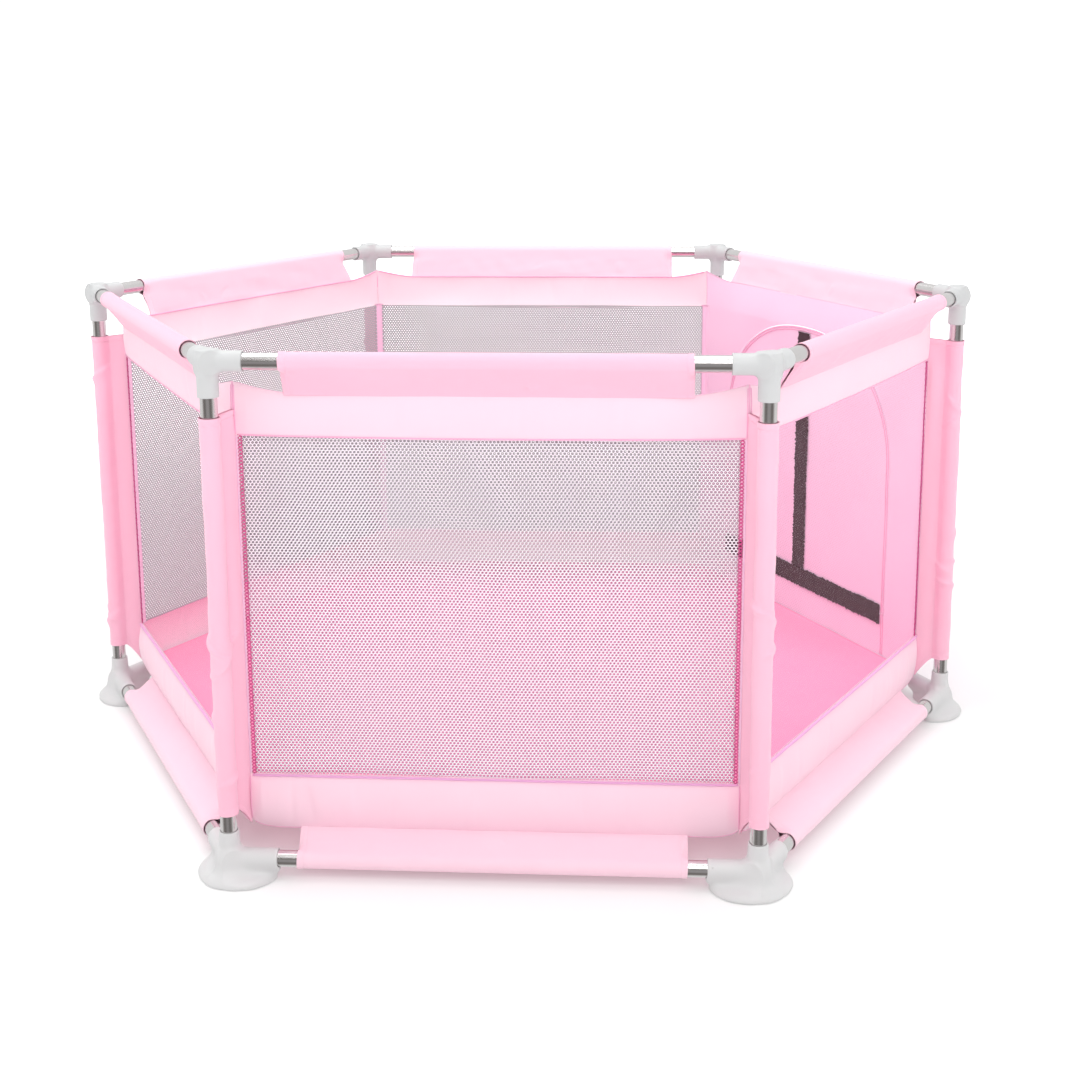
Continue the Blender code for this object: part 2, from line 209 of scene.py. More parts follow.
def crease(u, v, start, end, width, height, bow=0.0):
    # one soft fold line between two points of the cloth, fading at both ends
    start, end = np.array(start, float), np.array(end, float)
    line = end - start
    length = np.hypot(*line)
    line /= length
    along = (u - start[0]) * line[0] + (v - start[1]) * line[1]
    share = np.clip(along / length, 0, 1)
    off = (u - start[0]) * -line[1] + (v - start[1]) * line[0] - bow * 4 * share * (1 - share)
    over = np.maximum(np.maximum(-along, along - length), 0)
    shape = np.where(off > 0, np.exp(-(off / width) ** 2), np.exp(-(off / (2.2 * width)) ** 2))
    fade = np.exp(-(over / (2 * width)) ** 2)
    return height * shape * fade * np.sin(math.pi * np.clip(share, 0.02, 0.98)) ** 0.6


def placed(name, mesh, finish, turn=0.0, where=(0, 0, 0), body="pen", stands=()):
    mesh.materials.clear()
    mesh.materials.append(finish)
    piece = bpy.data.objects.new(name, mesh)
    piece.rotation_euler = (0, 0, math.radians(turn))
    piece.location = where
    bpy.context.scene.collection.objects.link(piece)
    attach(piece, body)
    if stands:
        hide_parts(*stands)
    return piece


# ---- shader helpers ----
class Wire:
    # a node's output that takes part in plain arithmetic
    def __init__(self, finish, socket):
        self.finish, self.socket = finish, socket

    def maths(self, operation, first, second):
        return self.finish.node("ShaderNodeMath", {"operation": operation}, {0: first, 1: second})

    def __add__(self, other):
        return self.maths("ADD", self, other)

    def __radd__(self, other):
        return self.maths("ADD", other, self)

    def __mul__(self, other):
        return self.maths("MULTIPLY", self, other)

    def __rmul__(self, other):
        return self.maths("MULTIPLY", other, self)


class Finish:
    # one material, built up node by node
    def __init__(self, name, **fixed):
        self.material = bpy.data.materials.new(name)
        self.material.use_nodes = True
        self.tree = self.material.node_tree
        self.shader = self.tree.nodes["Principled BSDF"]
        for label, value in fixed.items():
            self.shader.inputs[label.replace("_", " ")].default_value = value

    def node(self, kind, settings=None, inputs=None, output=0):
        made = self.tree.nodes.new(kind)
        for key, value in (settings or {}).items():
            if key == "stops":
                ramp = made.color_ramp
                for i, (place, colour) in enumerate(value):
                    stop = ramp.elements[i] if i < 2 else ramp.elements.new(place)
                    stop.position, stop.color = place, colour
            else:
                setattr(made, key, value)
        for key, value in (inputs or {}).items():
            if isinstance(value, Wire):
                self.tree.links.new(value.socket, made.inputs[key])
            else:
                made.inputs[key].default_value = value
        return Wire(self, made.outputs[output])

    def feed(self, label, wire):
        self.tree.links.new(wire.socket, self.shader.inputs[label])

    def place(self):
        return self.node("ShaderNodeTexCoord", {}, {}, "Object")

    def weave(self):
        return self.node("ShaderNodeAttribute", {"attribute_name": "weave"}, {}, "Vector")

    def split(self, vector, axis):
        return self.node("ShaderNodeSeparateXYZ", {}, {0: vector}, axis)

    def noise(self, scale, where, detail=3.0, rough=0.5):
        return self.node("ShaderNodeTexNoise", {}, {"Scale": scale, "Detail": detail, "Roughness": rough,
                                                    "Vector": where})

    def blendColour(self, share, first, second):
        return self.node("ShaderNodeMix", {"data_type": "RGBA"}, {0: share, 6: first, 7: second}, 2)

    def tint(self, share, shade, colour):
        self.feed("Base Color", self.blendColour(share, (*shade, 1), (*colour, 1)))

    def emboss(self, height, distance, strength):
        self.feed("Normal", self.node("ShaderNodeBump", {}, {"Height": height, "Distance": distance,
                                                             "Strength": strength}))


cloth = {"sheen": 0.35, "rough": 0.82, "cloudScale": 9.0, "speckScale": 900.0}


def clothFinish(name, colour, shade, thread=0.0006, depth=0.00012):
    # plain woven cloth: crossing threads, slow colour drift and a soft sheen
    k = cloth
    made = Finish(name, Roughness=k["rough"], Sheen_Weight=k["sheen"], Sheen_Roughness=0.45,
                  Specular_IOR_Level=0.25)
    spread, place = made.weave(), made.place()
    warp, weft = [made.node("ShaderNodeMath", {"operation": "SINE"},
                            {0: made.split(spread, axis) * (2 * math.pi / thread)}) for axis in (0, 1)]
    threads = warp * weft * 0.5 + 0.5
    drift = made.noise(k["cloudScale"], place, 4.0)
    speck = made.noise(k["speckScale"], place, 2.0)
    made.tint(drift * 0.55 + threads * 0.18, shade, colour)
    made.feed("Roughness", k["rough"] - 0.08 + drift * 0.12)
    made.emboss(threads * 0.6 + speck * 0.5, depth, 0.5)
    return made.material


def steelFinish(name, drawnScale):
    # polished tube with faint lines along the way it was drawn
    made = Finish(name, Metallic=1.0, Specular_IOR_Level=0.5)
    place = made.place()
    lines = made.noise(1.0, made.node("ShaderNodeMapping", {}, {"Vector": place, "Scale": drawnScale}), 2.0)
    cloud = made.noise(35.0, place)
    made.tint(cloud, (0.72, 0.70, 0.69), (0.82, 0.80, 0.80))
    made.feed("Roughness", 0.16 + lines * 0.08 + cloud * 0.04)
    made.emboss(lines, 0.00004, 0.15)
    return made.material


def plasticFinish(name, colour, shade):
    # moulded plastic with a fine satin grain
    made = Finish(name, Specular_IOR_Level=0.45)
    place = made.place()
    grain = made.noise(2200.0, place, 2.0)
    cloud = made.noise(14.0, place)
    made.tint(cloud, shade, colour)
    made.feed("Roughness", 0.36 + cloud * 0.12 + grain * 0.06)
    made.emboss(grain, 0.00003, 0.35)
    return made.material


netFloorPinkFade = {"low": 0.355, "high": 0.410}  # heights across which a net's painted shade turns to painted pink floor light


def nettingFinish(name, colour, shade, paintedFloorPink=None, **fixed):
    made = Finish(name, **fixed, Roughness=0.7, Sheen_Weight=0.3, Specular_IOR_Level=0.3)
    place = made.place()
    twist = made.noise(1600.0, place, 2.0)
    cloud = made.noise(6.0, place, 2.0)
    tone = made.blendColour(twist * 0.5 + cloud * 0.5, (*shade, 1), (*colour, 1))
    if paintedFloorPink:  # painted pink floor light that deepens toward the bottom hem
        fade = made.node("ShaderNodeMapRange", {"interpolation_type": "SMOOTHSTEP"},
                         {"Value": made.split(place, "Z"), "From Min": netFloorPinkFade["low"],
                          "From Max": netFloorPinkFade["high"], "To Min": 1.0, "To Max": 0.0})
        tone = made.blendColour(fade, tone, (*paintedFloorPink, 1))
    made.feed("Base Color", tone)
    made.emboss(twist, 0.0001, 0.5)
    return made.material


def tapeFinish():
    # black pile tape, fluffy over faint ribs
    made = Finish("blackTape", Sheen_Weight=0.12, Sheen_Roughness=0.6, Specular_IOR_Level=0.12)
    spread = made.weave()
    fluff = made.noise(1800.0, spread, 3.0, 0.7)
    ribs = made.node("ShaderNodeTexWave", {"wave_type": "BANDS", "bands_direction": "Y"},
                     {"Vector": spread, "Scale": 420.0, "Distortion": 2.5, "Detail": 1.0})
    cloud = made.noise(40.0, spread)
    made.tint(fluff * 0.6 + cloud * 0.4, (0.018, 0.008, 0.011), (0.095, 0.045, 0.060))
    made.feed("Roughness", 0.8 + fluff * 0.15)
    made.emboss(fluff * 0.7 + ribs * 0.3, 0.0004, 0.8)
    return made.material


def stitchFinish(name, colour):
    # twisted sewing thread
    made = Finish(name, Roughness=0.6, Sheen_Weight=0.2)
    twist = made.node("ShaderNodeTexWave", {"wave_type": "BANDS", "bands_direction": "DIAGONAL"},
                      {"Vector": made.weave(), "Scale": 900.0, "Distortion": 1.0})
    made.tint(twist, [c * 0.7 for c in colour], colour)
    made.emboss(twist, 0.0002, 0.6)
    return made.material


print("finishes")
steel = steelFinish("brightSteel", (8, 900, 900))
uprightSteel = steelFinish("uprightSteel", (900, 900, 8))
footPlastic = plasticFinish("footPlastic", (0.70, 0.70, 0.70), (0.64, 0.645, 0.65))
# the top joints take a darker copy of the feet's plastic: painted shade against the stronger light they get
# on top
jointPlasticPaintedShade = plasticFinish("jointPlasticPaintedShade", (0.60, 0.605, 0.61), (0.54, 0.55, 0.555))
sleeveCloth = clothFinish("sleeveCloth", (0.95, 0.57, 0.69), (0.94, 0.49, 0.63))
bandCloth = clothFinish("bandCloth", (0.96, 0.71, 0.80), (0.95, 0.63, 0.74))
# a lighter copy of the band cloth for the back sides' top bands: painted light on their inner faces, which
# get less light
bandClothPaintedLight = clothFinish("bandClothPaintedLight", (0.96, 0.84, 0.89), (0.95, 0.78, 0.84))
wallCloth = clothFinish("wallCloth", (0.96, 0.73, 0.88), (0.95, 0.64, 0.82))
floorCloth = clothFinish("floorCloth", (0.98, 0.36, 0.55), (0.97, 0.30, 0.50), depth=0.00003)
edgeCloth = clothFinish("edgeCloth", (0.93, 0.52, 0.70), (0.91, 0.44, 0.64), thread=0.0008)
lilacEdge = clothFinish("lilacEdge", (0.84, 0.46, 0.72), (0.80, 0.38, 0.66), thread=0.0008)
netWhite = nettingFinish("netWhite", (0.97, 0.93, 0.97), (0.92, 0.84, 0.91))
# a grey copy of the white netting for the back windows: painted shade on their threads, which are lit from
# behind
netGrey = nettingFinish("netGrey", (0.47, 0.495, 0.510), (0.43, 0.455, 0.470))
# a dark sheet just behind the front net: painted shade in its holes, turning to painted pink floor light
# toward the bottom
netHolesPaintedShade = nettingFinish("netHolesPaintedShade", (0.13, 0.05, 0.10), (0.08, 0.03, 0.065), paintedFloorPink=(0.50, 0.05, 0.27))
netFine = nettingFinish("netFine", (0.93, 0.86, 0.91), (0.88, 0.76, 0.84), Alpha=0.18)
blackTape = tapeFinish()
stitchPink = stitchFinish("stitchPink", (0.86, 0.11, 0.37))


# ---- solids given by a distance rule ----
def carve(name, distance, low, high, step):
    axes = [np.arange(a, b + step, step) for a, b in zip(low, high)]
    grid = np.stack(np.meshgrid(*axes, indexing="ij"), -1)
    inside = distance(grid) < 0
    count = [len(a) for a in axes]
    corners = [inside[i:count[0] - 1 + i, j:count[1] - 1 + j, k:count[2] - 1 + k]
               for i in (0, 1) for j in (0, 1) for k in (0, 1)]
    total = sum(c.astype(np.int8) for c in corners)
    active = (total > 0) & (total < 8)
    number = np.full(active.shape, -1, np.int32)
    number[active] = np.arange(active.sum())
    points = grid[:-1, :-1, :-1][active] + step / 2
    start = points.copy()
    for _ in range(6):  # each point settles on the surface
        value = distance(points)
        slope = [distance(points + e) - distance(points - e) for e in np.eye(3) * 1e-5]
        slope = np.stack(slope, -1) / 2e-5
        points = points - slope * (value / np.maximum((slope ** 2).sum(-1), 0.05))[:, None]
        points = start + np.clip(points - start, -0.9 * step, 0.9 * step)
    quads = []
    for axis in range(3):
        a, b = [x for x in range(3) if x != axis]
        size = list(inside.shape)
        here = [slice(None)] * 3
        there = [slice(None)] * 3
        here[axis], there[axis] = slice(0, size[axis] - 1), slice(1, size[axis])
        change = inside[tuple(here)] != inside[tuple(there)]
        where = np.argwhere(change)
        for other in (a, b):
            where = where[(where[:, other] > 0) & (where[:, other] < size[other] - 1)]
        around = []
        for da, db in ((0, 0), (-1, 0), (-1, -1), (0, -1)):
            cell = where.copy()
            cell[:, a] += da
            cell[:, b] += db
            around.append(number[tuple(cell.T)])
        quad = np.stack(around, -1)
        out = inside[tuple(here)][tuple(where.T)]
        flip = out if axis != 1 else ~out
        quad[flip] = quad[flip][:, ::-1]
        quads.append(quad)
    return meshFrom(name, points, np.concatenate(quads)[:, ::-1])


def softMin(a, b, blend):
    h = np.maximum(blend - np.abs(a - b), 0) / blend
    return np.minimum(a, b) - h * h * blend / 4


def softMax(a, b, blend):
    return -softMin(-a, -b, blend)


def rod(p, start, heading, length, radius, soft=0.0008, flare=0.0):
    # round bar from a point along a heading, its end edge softened
    start, heading = np.array(start, float), np.array(heading, float)
    rel = p - start
    along = rel @ heading
    across = np.linalg.norm(rel - along[..., None] * heading, axis=-1)
    radius = radius + flare * np.clip(1 - along / length, 0, 1) ** 2
    q1, q2 = across - (radius - soft), along - (length - soft)
    outer = np.hypot(np.maximum(q1, 0), np.maximum(q2, 0)) + np.minimum(np.maximum(q1, q2), 0) - soft
    return np.maximum(outer, -along - radius)


armHeadings = [tuple(direction(a)) for a in (210, 330)]  # +Y points outward

topJoint = {"radius": 0.0126, "length": 0.042, "bore": 0.0102, "boreStart": 0.018, "fillet": 0.007,
            "ball": 0.0122, "step": 0.0010, "low": (-0.050, -0.036, -0.046), "high": (0.050, 0.023, 0.023)}


def socketHoles(body, p, centre, headings, k):
    for heading in headings:
        along = (p - centre) @ np.array(heading, float)
        hole = rod(p, centre + np.array(heading) * k["boreStart"], heading, 0.08, k["bore"])
        body = softMax(body, -np.maximum(hole, k["boreStart"] - along), 0.0008)
    return body


def topJointShape(p):
    k = topJoint
    headings = armHeadings + [(0, 0, -1)]
    body = np.linalg.norm(p, axis=-1) - k["ball"]
    for heading in headings:
        body = softMin(body, rod(p, (0, 0, 0), heading, k["length"], k["radius"]), k["fillet"])
    return socketHoles(body, p, np.zeros(3), headings, k)


foot = {"radius": 0.0122, "length": 0.060, "up": 0.036, "bore": 0.0102, "boreStart": 0.014, "step": 0.0012,
        "low": (-0.068, -0.052, -0.0031), "high": (0.068, 0.042, 0.062),
        "rim": 0.0085, "dish": 0.015, "flare": 0.0035, "fillet": 0.009, "skirtFillet": 0.016,
        # skirt's reach from the post at angles from straight outward
        "angles": (0, 30, 60, 80, 95, 110, 120, 130, 145, 160, 180),
        "reach": (0.0345, 0.0350, 0.0410, 0.0480, 0.0525, 0.0570, 0.0585, 0.0500, 0.0300, 0.0210, 0.0180)}
footTurn = np.linspace(0, 180, 361)
footReach = np.interp(footTurn, foot["angles"], foot["reach"])
footBlur = np.hanning(25) / np.hanning(25).sum()
footReach = np.convolve(np.pad(footReach, 12, mode="reflect"), footBlur, "valid")


def footShape(p):
    k = foot
    axis = np.array([0.0, 0.0, lowZ])
    around = np.abs(np.degrees(np.arctan2(p[..., 0], p[..., 1])))  # 0 points outward
    reach = np.hypot(p[..., 0], p[..., 1])
    edge = np.interp(around, footTurn, footReach)
    share = np.clip(reach / edge, 0, 1.3)
    height = k["rim"] + k["dish"] * np.clip(1 - share, 0, 1) ** 1.6
    skirt = softMax((p[..., 2] - height) * 0.85, (reach - edge) * 0.8, 0.009)
    skirt = softMax(skirt, -p[..., 2], 0.003)
    body = rod(p, axis, (0, 0, 1), k["up"], k["radius"], flare=k["flare"])
    for heading in armHeadings:
        body = softMin(body, rod(p, axis, heading, k["length"], k["radius"]), k["fillet"])
    body = softMin(body, skirt, k["skirtFillet"])
    body = np.maximum(body, -p[..., 2])
    return socketHoles(body, p, axis, armHeadings + [(0, 0, 1)], k)


def makeCorners():
    top, low = [carve(name, shape, k["low"], k["high"], k["step"])
                for name, shape, k in (("topJoint", topJointShape, topJoint), ("foot", footShape, foot))]
    for corner, angle in cornerAngles.items():
        spot = direction(angle) * cornerRadius
        placed("topJoint_" + corner, top, jointPlasticPaintedShade, angle - 90, spot + Vector((0, 0, topZ)),
               stands=["top_connector_" + corner])
        placed("footPiece_" + corner, low, footPlastic, angle - 90, spot,
               stands=["foot_" + corner])


print("corner pieces")
makeCorners()

tube = {"radius": 0.010, "bore": 0.0095, "sides": 48, "lip": 0.0002}


def tubeMesh(name, length):
    # open tube along X with its edges eased
    k = tube
    half = length / 2
    bore, radius, lip = k["bore"], k["radius"], k["lip"]
    profile = [(-half, bore + lip), (-half, radius - lip), (-half + lip, radius), (half - lip, radius),
               (half, radius - lip), (half, bore + lip), (half - lip, bore), (-half + lip, bore)]
    turn = np.arange(k["sides"]) * 2 * math.pi / k["sides"]
    rings = np.array([[(x, r * math.cos(t), r * math.sin(t)) for t in turn] for x, r in profile])
    mesh = meshFrom(name, rings, gridFaces(len(profile), k["sides"], True, True))
    mesh.set_sharp_from_angle(angle=math.radians(30))  # keeps the long faces' shading true
    return mesh


def makeTubes():
    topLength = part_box("top_rail_front")[1].x * 2
    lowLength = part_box("bottom_rail_front")[1].x * 2
    postLow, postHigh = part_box("post_right")[0].z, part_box("post_right")[1].z
    topTube, lowTube = tubeMesh("topTube", topLength), tubeMesh("lowTube", lowLength)
    postTube = tubeMesh("postTube", postHigh - postLow)
    postTube.transform(Matrix.Rotation(math.pi / 2, 4, "Y"))
    for side, angle in sideAngles.items():
        out = direction(angle) * railOut
        placed("topRail_" + side, topTube, steel, angle - 90, out + Vector((0, 0, topZ)),
               stands=["top_rail_" + side])
        placed("lowRail_" + side, lowTube, steel, angle - 90, out + Vector((0, 0, lowZ)),
               stands=["bottom_rail_" + side])
    for corner, angle in cornerAngles.items():
        spot = direction(angle) * cornerRadius + Vector((0, 0, (postLow + postHigh) / 2))
        placed("postTube_" + corner, postTube, uprightSteel, angle - 90, spot,
               stands=["post_" + corner])


print("tubes")
makeTubes()


# ---- sleeves ----
def evenly(line, count, ease=0.0):
    # the same line with even spacing, its turns rounded over the given length
    run = np.append(0, np.linalg.norm(np.diff(line, axis=0), axis=1).cumsum())
    if ease:
        fine = np.linspace(0, run[-1], 1200)
        dense = np.stack([np.interp(fine, run, line[:, i]) for i in (0, 1)], -1)
        width = max(int(ease / run[-1] * 1200) | 1, 3)
        window = np.hanning(width + 2)[1:-1]
        window /= window.sum()
        padded = np.concatenate([2 * dense[0] - dense[width // 2:0:-1], dense,
                                 2 * dense[-1] - dense[-2:-width // 2 - 1:-1]])
        line = np.stack([np.convolve(padded[:, i], window, "valid") for i in (0, 1)], -1)
        run = np.append(0, np.linalg.norm(np.diff(line, axis=0), axis=1).cumsum())
    even = np.linspace(0, run[-1], count)
    return np.stack([np.interp(even, run, line[:, i]) for i in (0, 1)], -1), even


def beltProfile(edge, radius, count, gap=0.0009):
    # cloth from an edge over the far side of a circle and back to the edge
    edge = np.array(edge, float)
    heading = math.atan2(edge[1], edge[0])
    apart = math.acos(radius / np.hypot(*edge))
    turn = np.linspace(heading + apart, heading - apart + 2 * math.pi, 60)
    arc = np.stack([np.cos(turn), np.sin(turn)], -1) * radius
    across = np.array([-math.sin(heading), math.cos(heading)]) * gap
    return evenly(np.concatenate([[edge + across], arc, [edge - across]]), count, 0.003)


def keyholeProfile(length, radius, count, gap=0.0010, mouth=24):
    # cloth round a post whose two layers are sewn together behind it
    turn = np.radians(np.linspace(-90 + mouth, 270 - mouth, 80))
    arc = np.stack([np.cos(turn), np.sin(turn)], -1) * radius
    neck = -radius - 0.0022
    line = np.concatenate([[(gap, -length), (gap, neck)], arc, [(-gap, neck), (-gap, -length)]])
    return evenly(line, count, 0.0035)


def endSpaced(low, high, count, near=0.014, step=0.0010):
    # positions that crowd together near both ends, where the hems are
    lowEnd = np.arange(low, low + near, step)
    highEnd = high - np.arange(0, near, step)[::-1]
    return np.concatenate([lowEnd, np.linspace(lowEnd[-1], highEnd[0], count)[1:-1], highEnd])


def hem(distance, depth, rise):
    # raised turned edge with its stitch line, by distance from the edge
    groove = np.exp(-((distance - depth) / 0.0009) ** 2) * 1.3
    return rise * (0.5 - 0.5 * np.tanh((distance - depth) / 0.0012) - groove)


bandLean = 0.010  # how far the top sleeves pull the liner's top edge outward
railSleeve = {"radius": 0.0110, "thickness": 0.0008, "along": 150, "around": 84, "waves": 0.0011,
              "hem": 0.008, "hemRise": 0.0005, "foldHeight": 0.0016, "widen": 0.008, "pinch": 0.020,
              "lap": 0.0020}  # how far the flap overlaps the liner's edge


def railSleeveMesh(name, drop, lean, seed, folds):
    k = railSleeve
    waves = k["waves"]
    edge = (wallOut + lean - railOut, drop)
    profile, run = beltProfile(edge, k["radius"], k["around"])
    s = endSpaced(-sleeveHalf, sleeveHalf, k["along"])
    u, v = np.meshgrid(run, s, indexing="ij")
    reach = np.hypot(profile[:, 0], profile[:, 1])
    flap = np.clip((reach - k["radius"]) / (np.hypot(*edge) - k["radius"]), 0, 1)[:, None]
    # the flat parts move, the roll round the rail barely does
    loose = np.clip((reach - k["radius"]) / 0.010, 0, 1)[:, None]
    clamp = np.clip(np.hypot(*(profile - edge).T) / 0.008, 0, 1)[:, None]
    swell = waves * ripple(u * 2.2, v, seed, 0.12) * loose * clamp
    swell += 0.3 * waves * ripple(u * 1.5, v, seed + 5, 0.04) * (0.15 + loose) * clamp
    pick = np.random.default_rng(seed + 9)
    for i in range(folds):
        at = pick.uniform(-0.9, 0.9) * sleeveHalf
        tilt = pick.uniform(-0.03, 0.03)
        low, top = pick.uniform(0.02, 0.10) * run[-1], pick.uniform(0.16, 0.26) * run[-1]
        if i % 2:
            low, top = run[-1] - low, run[-1] - top
        width = pick.uniform(0.002, 0.005)
        height = k["foldHeight"] * pick.uniform(0.4, 1.0) * pick.choice([-1, 1])
        swell += crease(u, v, (low, at), (top, at + tilt), width, height, pick.uniform(-0.006, 0.006))
    swell += hem(sleeveHalf - np.abs(v), k["hem"], k["hemRise"])
    heading = np.array(edge) / np.hypot(*edge)
    across = np.array([-heading[1], heading[0]])
    ahead, off = profile @ heading, profile @ across
    pinch = np.clip((np.abs(v) - sleeveHalf + k["pinch"]) / k["pinch"], 0, 1) ** 2
    pinch = pinch * (3 * loose - 2 * loose ** 2)
    off = off[:, None] * (1 - 0.9 * pinch)  # the flap's two layers meet at its ends
    points = np.zeros((*u.shape, 3))
    points[..., 0] = v * (1 + k["widen"] * flap)
    points[..., 1] = railOut + ahead[:, None] * heading[0] + off * across[0]
    points[..., 2] = ahead[:, None] * heading[1] + off * across[1]
    points[..., 0] += 0.0010 * ripple(u, v * 0, seed + 11, 0.06) * np.abs(v / sleeveHalf) ** 8
    mesh = clothMesh(name, points, k["thickness"], swell=swell, weave=flatPlace(u, v))
    return mesh, float(run[-1])


def makeRailSleeves():
    k = railSleeve
    topDrop = wallHigh - k["lap"] - topZ
    lowDrop = wallLow + k["lap"] - lowZ
    for i, (side, angle) in enumerate(sideAngles.items()):
        topCloth = bandCloth if "back" in side else sleeveCloth
        for level, node, drop, lean, z, finish, seed, folds in (
                ("top", "top_sleeve_", topDrop, bandLean, topZ, topCloth, 20 + i, 5),
                ("low", "bottom_sleeve_", lowDrop, 0.0, lowZ, bandCloth, 40 + i, 3)):
            name = level + "Sleeve_" + side
            mesh, girth = railSleeveMesh(name, drop, lean, seed, folds)
            piece = placed(name, mesh, finish, angle - 90, (0, 0, z),
                           stands=[node + side])
            level + "Rail_" + side


print("rail sleeves")
makeRailSleeves()

postSleeve = {"radius": 0.0117, "thickness": 0.0008, "up": 330, "around": 96, "waves": 0.0007, "hem": 0.008,
              "hemRise": 0.0006, "topRise": 0.003, "lowDrop": 0.029,
              # folds as (distance round the cloth, height) pairs, then width, height and bow
              "folds": {
                  "front_left": [((0.046, 0.314), (0.084, 0.284), 0.0026, 0.0046, -0.004),
                                 ((0.082, 0.284), (0.112, 0.306), 0.0030, 0.0034, 0.003),
                                 ((0.084, 0.283), (0.050, 0.258), 0.0026, 0.0036, 0.003),
                                 ((0.056, 0.122), (0.092, 0.139), 0.0026, 0.0032, -0.003),
                                 ((0.048, 0.214), (0.066, 0.204), 0.0032, 0.0022, 0.0),
                                 ((0.094, 0.350), (0.116, 0.402), 0.0040, 0.0010, 0.004)],
                  "front_right": [((0.024, 0.366), (0.072, 0.351), 0.0026, 0.0042, -0.003),
                                  ((0.060, 0.350), (0.078, 0.330), 0.0030, 0.0030, 0.002),
                                  ((0.056, 0.300), (0.078, 0.312), 0.0028, 0.0028, 0.0),
                                  ((0.008, 0.262), (0.030, 0.240), 0.0026, 0.0012, 0.002),
                                  ((0.030, 0.150), (0.060, 0.162), 0.0030, 0.0010, -0.002)]},
              "looseFolds": 6}


def postSleeveMesh(corner, seed):
    k = postSleeve
    length = cornerRadius - linerCorner - 0.0006
    profile, run = keyholeProfile(length, k["radius"], k["around"])
    t = endSpaced(0.0, 1.0, k["up"], 0.028, 0.0018)[None]
    # 0 at the post, 1 at the liner
    back = np.clip((-profile[:, 1] - k["radius"]) / (length - k["radius"]), 0, 1)[:, None]
    low = sleeveLow - k["lowDrop"] * back ** 1.5
    high = sleeveHigh + k["topRise"] * back
    z = low + (high - low) * t
    u = np.broadcast_to(run[:, None], z.shape)
    free = np.clip(np.minimum(run, run[-1] - run) / 0.006, 0.0, 1)[:, None]  # sewn down along the liner
    web = np.clip(back * 6, 0, 1)
    swell = k["waves"] * ripple(u * 1.4, z, seed, 0.09) * free
    swell += 0.5 * k["waves"] * ripple(u, z * 1.3, seed + 2, 0.03) * free
    part = web * np.sin(math.pi * back)  # the web's two layers part a little
    swell += 0.0009 * part * (1 + 0.6 * ripple(z * 0, z, seed + 6, 0.12))
    folds = list(k["folds"].get(corner, []))
    pick = np.random.default_rng(seed + 4)
    for i in range(0 if folds else k["looseFolds"]):
        at = pick.uniform(sleeveLow + 0.03, sleeveHigh - 0.04)
        first = pick.uniform(0.1, 0.45) * run[-1]
        over = pick.uniform(0.22, 0.45) * run[-1]
        rise = pick.uniform(0.01, 0.04) * pick.choice([-1, 1])
        folds.append(((first, at), (first + over, at + rise), pick.uniform(0.0022, 0.0036),
                      pick.uniform(0.0018, 0.0036), pick.uniform(-0.006, 0.006)))
    for start, end, width, height, bow in folds:
        swell += crease(u, z, start, end, width, height, bow) * free
    swell += hem(high - z, k["hem"], k["hemRise"]) + hem(z - low, k["hem"], k["hemRise"] * 0.5)
    points = np.zeros((*z.shape, 3))
    bend = 0.0012 * ripple(z * 0, z, seed + 8, 0.16) * back * (1 - back) * 3
    points[..., 0] = profile[:, 0][:, None] + bend
    points[..., 1] = cornerRadius + profile[:, 1][:, None]
    points[..., 2] = z
    mesh = clothMesh("postSleeve", points, k["thickness"], swell=swell, weave=flatPlace(u, z))
    return mesh, float(run[-1])


def makePostSleeves():
    for i, (corner, angle) in enumerate(cornerAngles.items()):
        mesh, girth = postSleeveMesh(corner, 60 + 3 * i)
        piece = placed("postSleeve_" + corner, mesh, sleeveCloth, angle - 90,
                       stands=["post_sleeve_" + corner])


print("post sleeves")
makePostSleeves()


# ---- liner wall ----
band = {"topPuff": 0.0055, "lowPuff": 0.0085, "cornerRise": 0.012, "cornerRound": 0.040,
        "cornerLift": 0.014, "lean": bandLean, "along": 240, "up": 36, "thickness": 0.0010,
        "foldsTop": 4, "foldsLow": 10, "seam": 0.0007, "topEdge": 0.0011, "rolledEdge": 0.0012,
        "lowEdge": 0.0024, "underEdge": 0.0009, "cornerSeam": 0.0010}


def cornerShare(s):
    # 0 along the sleeve, 1 at the side's corners
    return np.clip((np.abs(s) - sleeveHalf) / (sideHalf - sleeveHalf), 0, 1) ** 1.5


